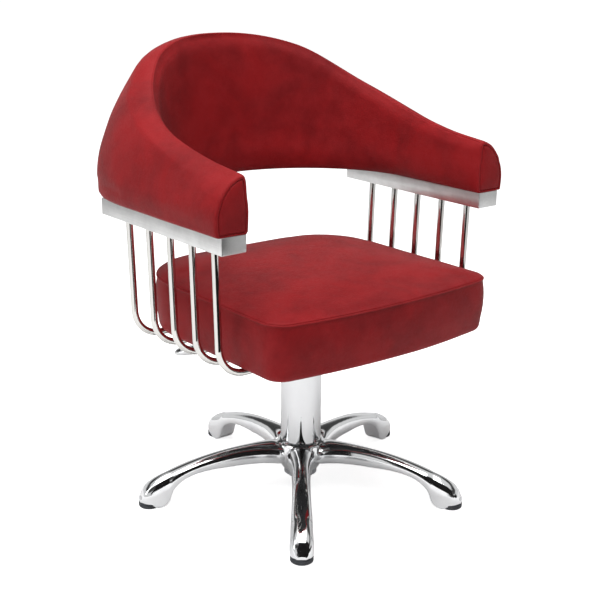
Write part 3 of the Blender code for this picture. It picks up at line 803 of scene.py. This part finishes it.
def sleeve():
    """Chrome sleeve with a window for the lever."""
    outer, inner = SLEEVE_RADIUS, SLEEVE_RADIUS - 0.0015
    piece = turned("sleeve_tube", [(inner, 0.2998), (inner + 0.0004, 0.3000), (outer - 0.0004, 0.3000),
                                   (outer, 0.2996),
                                   (outer, 0.2400), (outer, 0.1800), (outer, 0.1007),
                                   (outer - 0.0004, 0.1003),
                                   (inner, 0.1003)], steps=128, centre=(0.0, COLUMN_Y), closed=True)
    work = bmesh.new()
    skin(work, [[radial(LEVER_TURN, r, z, side) for side, z in
                 ((-0.0125, 0.2620), (0.0125, 0.2620), (0.0125, 0.2965), (-0.0125, 0.2965))]
                for r in (0.030, 0.050)])
    window = mesh_piece("window_form", work)
    cut = piece.modifiers.new("window", "BOOLEAN")
    cut.operation = "DIFFERENCE"
    cut.solver = "EXACT"
    cut.object = window
    bake(piece)
    bpy.data.objects.remove(window, do_unlink=True)
    return piece


def rod(label, side, number):
    y = ROD_FIRST_Y - number * ROD_PITCH + COLUMN_Y
    corner_x = ROD_TOP_X - (RAIL_BOTTOM - ROD_Z) * ROD_LEAN
    top = (side * ROD_TOP_X, y, RAIL_BOTTOM - 0.0003)
    corner = (side * corner_x, y, ROD_Z)
    end = (side * ROD_INNER_X, y, ROD_Z)
    points = [Vector(top)] + fillet(top, corner, end, ROD_BEND, 28) + [Vector(end)]
    return tube(f"chrome_rod_{label}_{number + 1}", points, ROD_RADIUS, 32)


def rounded_bar(name, low, high, round_off):
    """Square bar with soft edges."""
    work = bmesh.new()
    bmesh.ops.create_cube(work, size=1.0)
    for vert in work.verts:
        vert.co = Vector(low[i] + (vert.co[i] + 0.5) * (high[i] - low[i]) for i in range(3))
    bmesh.ops.bevel(work, geom=list(work.edges), offset=round_off, segments=3, profile=0.5, affect="EDGES")
    return mesh_piece(name, work)


def glide(index):
    heading = LEG_TURN - math.pi / 2 + index * 2 * math.pi / LEG_COUNT
    place = radial(heading, FOOT_RADIUS, 0.0)
    profile = [(0.0, 0.0000), (0.0175, 0.0000), (0.0190, 0.0004), (0.0203, 0.0016), (0.0205, 0.0030),
               (0.0205, 0.0052),
               (0.0200, 0.0057), (0.0200, 0.0063), (0.0205, 0.0068), (0.0205, 0.0088), (0.0202, 0.0096),
               (0.0190, 0.0105), (0.0170, 0.0110), (0.0040, 0.0110), (0.0040, 0.0300), (0.0, 0.0300)]
    return turned(f"glide_foot_{index + 1}", profile, 64, (place.x, place.y))


def lever_arm():
    """Flat arm from the pump head to the tread; its inner tip runs into the hidden plunger's top."""
    stations = [(0.0182, 0.2830, 0.0034, 0.0068), (0.0202, 0.2830, 0.0050, 0.0088),
                (0.0230, 0.2830, 0.0058, 0.0090),
                (0.0600, 0.2830, 0.0058, 0.0088), (0.0850, 0.2800, 0.0052, 0.0085),
                (0.1400, 0.2680, 0.0045, 0.0085),
                (0.2050, 0.2530, 0.0040, 0.0090)]
    rows = []
    for k in range(49):
        r = 0.0182 + (0.2050 - 0.0182) * k / 48
        z = interpolate([(s[0], s[1]) for s in stations], r)
        depth = interpolate([(s[0], s[2]) for s in stations], r)
        width = interpolate([(s[0], s[3]) for s in stations], r)
        row = []
        for j in range(24):
            turn = 2 * math.pi * j / 24
            c, s = math.cos(turn), math.sin(turn)
            row.append(radial(LEVER_TURN, r, z + depth * math.copysign(abs(s) ** 0.5, s),
                              width * math.copysign(abs(c) ** 0.5, c)))
        rows.append(row)
    return lofted("pump_arm", rows)


def lever_tread():
    """Rounded foot pad with a few raised ribs across it."""
    stations = [(0.2053, 0.55, 0.55), (0.2090, 0.78, 0.80), (0.2150, 0.94, 0.94), (0.2250, 1.0, 1.0),
                (0.2420, 1.0, 1.0), (0.2500, 0.93, 0.90), (0.2560, 0.76, 0.70), (0.2590, 0.52, 0.48),
                (0.2600, 0.30, 0.30)]
    rows = []
    for k in range(61):
        r = 0.2053 + (0.2600 - 0.2053) * k / 60
        width = 0.0155 * interpolate([(s[0], s[1]) for s in stations], r)
        depth = 0.0083 * interpolate([(s[0], s[2]) for s in stations], r)
        z = 0.2529 - (r - 0.2053) * 0.21
        rib = (0.0006 * max(0.0, math.sin((r - 0.2160) * 2 * math.pi / 0.0066))
               if 0.2160 < r < 0.2490 else 0.0)
        row = []
        for j in range(32):
            turn = 2 * math.pi * j / 32
            c, s = math.cos(turn), math.sin(turn)
            lift = rib if s > 0.3 and abs(c) < 0.8 else 0.0
            row.append(radial(LEVER_TURN, r, z + depth * s + lift, width * math.copysign(abs(c) ** 0.8, c)))
        rows.append(row)
    return lofted("pump_tread", rows)


# ---------------------------------------------------------------- build the pieces
def build():
    leather = leatherette()
    bright = chrome("chrome")
    casting = polished_casting("polished_casting")
    rod_chrome = chrome("rod_chrome", (0.70, 0.69, 0.665))
    rail = brushed_rail("brushed_rail")
    nylon = black_nylon("black_nylon")
    steel = painted_steel("painted_steel")
    zinc_plate = zinc("zinc_plate")
    ply = plywood("plywood")
    cloth = dust_cloth("dust_cloth")

    pad = stuff(horseshoe_pad(), PAD_SWELL + SWELL_MARGIN, lambda p: p.z < PAD_BOTTOM + 0.006)
    finish_piece(pad, leather, "seat")
    wrinkle(pad, 0.0006, 9.0, 3.0)
    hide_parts("back_arm_pad")

    cushion = stuff(seat_cover(), SEAT_SWELL + SWELL_MARGIN, seat_still)
    finish_piece(cushion, leather, "seat")
    wrinkle(cushion, 0.0007, 8.0, 11.0)
    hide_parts("seat_cushion")
    welt = finish_piece(seat_welt(cushion), leather, "seat")

    base = finish_piece(star_base(), casting, "base")
    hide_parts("star_base")
    column = finish_piece(sleeve(), bright, "base", angle=35)
    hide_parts("column_sleeve")
    for index in range(LEG_COUNT):
        foot = finish_piece(glide(index), nylon, "base", angle=40)
        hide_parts(f"glide_{index + 1}")
    ram = turned("ram_rod", [(0.0, 0.3245), (0.0136, 0.3245), (0.0140, 0.3241), (0.0140, 0.0754),
                             (0.0136, 0.0750),
                             (0.0, 0.0750)], 96, (0.0, COLUMN_Y))
    finish_piece(ram, bright, "ram", angle=40)
    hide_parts("piston_ram")
    for side, label in ((-1, "right"), (1, "left")):
        for number in range(ROD_COUNT):
            piece = finish_piece(rod(label, side, number), rod_chrome, "seat", angle=60)
            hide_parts(f"rod_{label}_{number + 1}")
        low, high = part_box(f"arm_rail_{label}")
        bar = finish_piece(rounded_bar(f"rail_{label}", low, high, 0.0014), rail, "seat",
                           angle=50)
        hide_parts(f"arm_rail_{label}")
    arm = finish_piece(lever_arm(), bright, "lever", angle=60)
    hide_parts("lever_arm")
    tread = finish_piece(lever_tread(), bright, "lever", angle=60)
    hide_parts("lever_tread")

    finishes = {"dark_steel": steel, "zinc_steel": zinc_plate, "plywood": ply, "black_nylon": nylon,
                "chrome": bright, "polished_aluminium": casting, "leatherette": leather}
    slots = {entry["node"]: entry["material_slot"] for entry in frame["record"]["subparts"]}
    for name, node in frame["nodes"].items():
        material = cloth if name in ("seat_board", "pad_board") else finishes[slots[name]]
        node.data.materials.clear()
        node.data.materials.append(material)


# ---------------------------------------------------------------- camera, floor and light
CAMERA_TURN = math.radians(-38.66)
CAMERA_RISE = math.radians(17.03)
CAMERA_ROLL = math.radians(0.51)
CAMERA_PLACE = Vector((-1.3125, -1.6349 + COLUMN_Y, 1.0171))
CAMERA_LENS = 70.8


def camera():
    data = bpy.data.cameras.new("camera")
    data.lens = CAMERA_LENS
    data.sensor_width = 36.0
    item = bpy.data.objects.new("camera", data)
    bpy.context.scene.collection.objects.link(item)
    back = Vector((math.sin(CAMERA_TURN) * math.cos(CAMERA_RISE),
                   -math.cos(CAMERA_TURN) * math.cos(CAMERA_RISE),
                   math.sin(CAMERA_RISE)))
    right = Vector((math.cos(CAMERA_TURN), math.sin(CAMERA_TURN), 0.0))
    up = back.cross(right)
    c, s = math.cos(CAMERA_ROLL), math.sin(CAMERA_ROLL)
    right, up = right * c + up * s, up * c - right * s
    turn = Matrix((right, up, back)).transposed().to_4x4()
    item.matrix_world = Matrix.Translation(CAMERA_PLACE) @ turn
    bpy.context.scene.camera = item


def floor():
    """White sweep: lit enough to burn out, so only the contact shadows show."""
    work = bmesh.new()
    bmesh.ops.create_grid(work, x_segments=1, y_segments=1, size=60.0)
    item = mesh_piece("floor", work)
    item.location.z = -0.0002
    n = Nodes("floor_paint")
    tone = n.mix(n.ramp(n.noise(3.0), 0.3, 0.7), (0.93, 0.93, 0.93), (0.91, 0.91, 0.912))
    rough = n.ramp(n.noise(20.0), 0.3, 0.7, 0.62, 0.72)
    glow = n.maths("MULTIPLY", n.add("ShaderNodeLightPath").outputs["Is Camera Ray"], 0.74)
    n.link(glow, n.shader.inputs["Emission Strength"])
    item.data.materials.append(n.finish(tone, rough, Specular_IOR_Level=0.0,
                                        Emission_Color=(1.0, 1.0, 1.0, 1.0)))


def dark_card():
    """Curved black card beside the camera, seen only in the chrome."""
    work = bmesh.new()
    columns = []
    for k in range(48):
        turn = math.radians(-14.0 + 2.0 * k)
        away = Vector((math.sin(CAMERA_TURN), -math.cos(CAMERA_TURN), 0.0)) * math.cos(turn)
        away += Vector((math.cos(CAMERA_TURN), math.sin(CAMERA_TURN), 0.0)) * math.sin(turn)
        top = 1.0 if k < 30 else 0.24
        columns.append([Vector((away.x, away.y + COLUMN_Y, 0.03)), Vector((away.x, away.y + COLUMN_Y, top))])
    skin(work, columns, close_ring=False, cap_start=False, cap_end=False)
    item = mesh_piece("dark_card", work)
    n = Nodes("card_black")
    item.data.materials.append(n.finish(n.mix(n.noise(8.0), (0.010, 0.010, 0.010), (0.020, 0.019, 0.019)),
                                        Specular_IOR_Level=0.0))
    item.visible_camera = False
    item.visible_diffuse = False
    item.visible_shadow = False
    item.visible_transmission = False


def area(name, place, target, size, power, colour=(1.0, 1.0, 1.0)):
    data = bpy.data.lights.new(name, "AREA")
    data.shape = "RECTANGLE"
    data.size, data.size_y = size
    data.energy = power
    data.color = colour
    item = bpy.data.objects.new(name, data)
    bpy.context.scene.collection.objects.link(item)
    item.location = place
    item.rotation_mode = "QUATERNION"
    item.rotation_quaternion = (Vector(target) - Vector(place)).to_track_quat("-Z", "Y")
    return item


def studio():
    scene = bpy.context.scene
    scene.view_settings.view_transform = "Standard"
    world = bpy.data.worlds.new("studio")
    scene.world = world
    world.use_nodes = True
    tree = world.node_tree
    tree.nodes.clear()
    out = tree.nodes.new("ShaderNodeOutputWorld")
    path = tree.nodes.new("ShaderNodeLightPath")
    lit, seen, mirrored = (tree.nodes.new("ShaderNodeBackground") for _ in range(3))
    lit.inputs["Color"].default_value = (1.0, 1.0, 1.0, 1.0)
    lit.inputs["Strength"].default_value = 0.34
    seen.inputs["Color"].default_value = (1.0, 1.0, 1.0, 1.0)
    seen.inputs["Strength"].default_value = 1.05
    place = tree.nodes.new("ShaderNodeTexCoord")
    split = tree.nodes.new("ShaderNodeSeparateXYZ")
    ramp = tree.nodes.new("ShaderNodeValToRGB")
    tree.links.new(place.outputs["Generated"], split.inputs["Vector"])
    tree.links.new(split.outputs["Z"], ramp.inputs["Fac"])
    stops = [(0.0, 0.75), (0.10, 0.95), (0.30, 0.85), (0.42, 0.10), (0.62, 0.05), (0.72, 0.9), (1.0, 1.0)]
    for position, value in stops[1:-1]:
        ramp.color_ramp.elements.new(position)
    for element, (position, value) in zip(ramp.color_ramp.elements, stops):
        element.position = position
        element.color = (value, value, value, 1.0)
    tree.links.new(ramp.outputs["Color"], mirrored.inputs["Color"])
    mirrored.inputs["Strength"].default_value = 0.80
    first, second = (tree.nodes.new("ShaderNodeMixShader") for _ in range(2))
    tree.links.new(path.outputs["Is Glossy Ray"], first.inputs["Fac"])
    tree.links.new(lit.outputs["Background"], first.inputs[1])
    tree.links.new(mirrored.outputs["Background"], first.inputs[2])
    tree.links.new(path.outputs["Is Camera Ray"], second.inputs["Fac"])
    tree.links.new(first.outputs["Shader"], second.inputs[1])
    tree.links.new(seen.outputs["Background"], second.inputs[2])
    tree.links.new(second.outputs["Shader"], out.inputs["Surface"])
    area("top_box", (-0.5, -0.3, 3.0), (0.0, 0.0, 0.4), (3.0, 3.0), 118.0)
    area("left_box", (-2.6, 0.4, 1.6), (0.0, 0.0, 0.5), (1.2, 2.0), 14.0)


build()
floor()
dark_card()
studio()
camera()
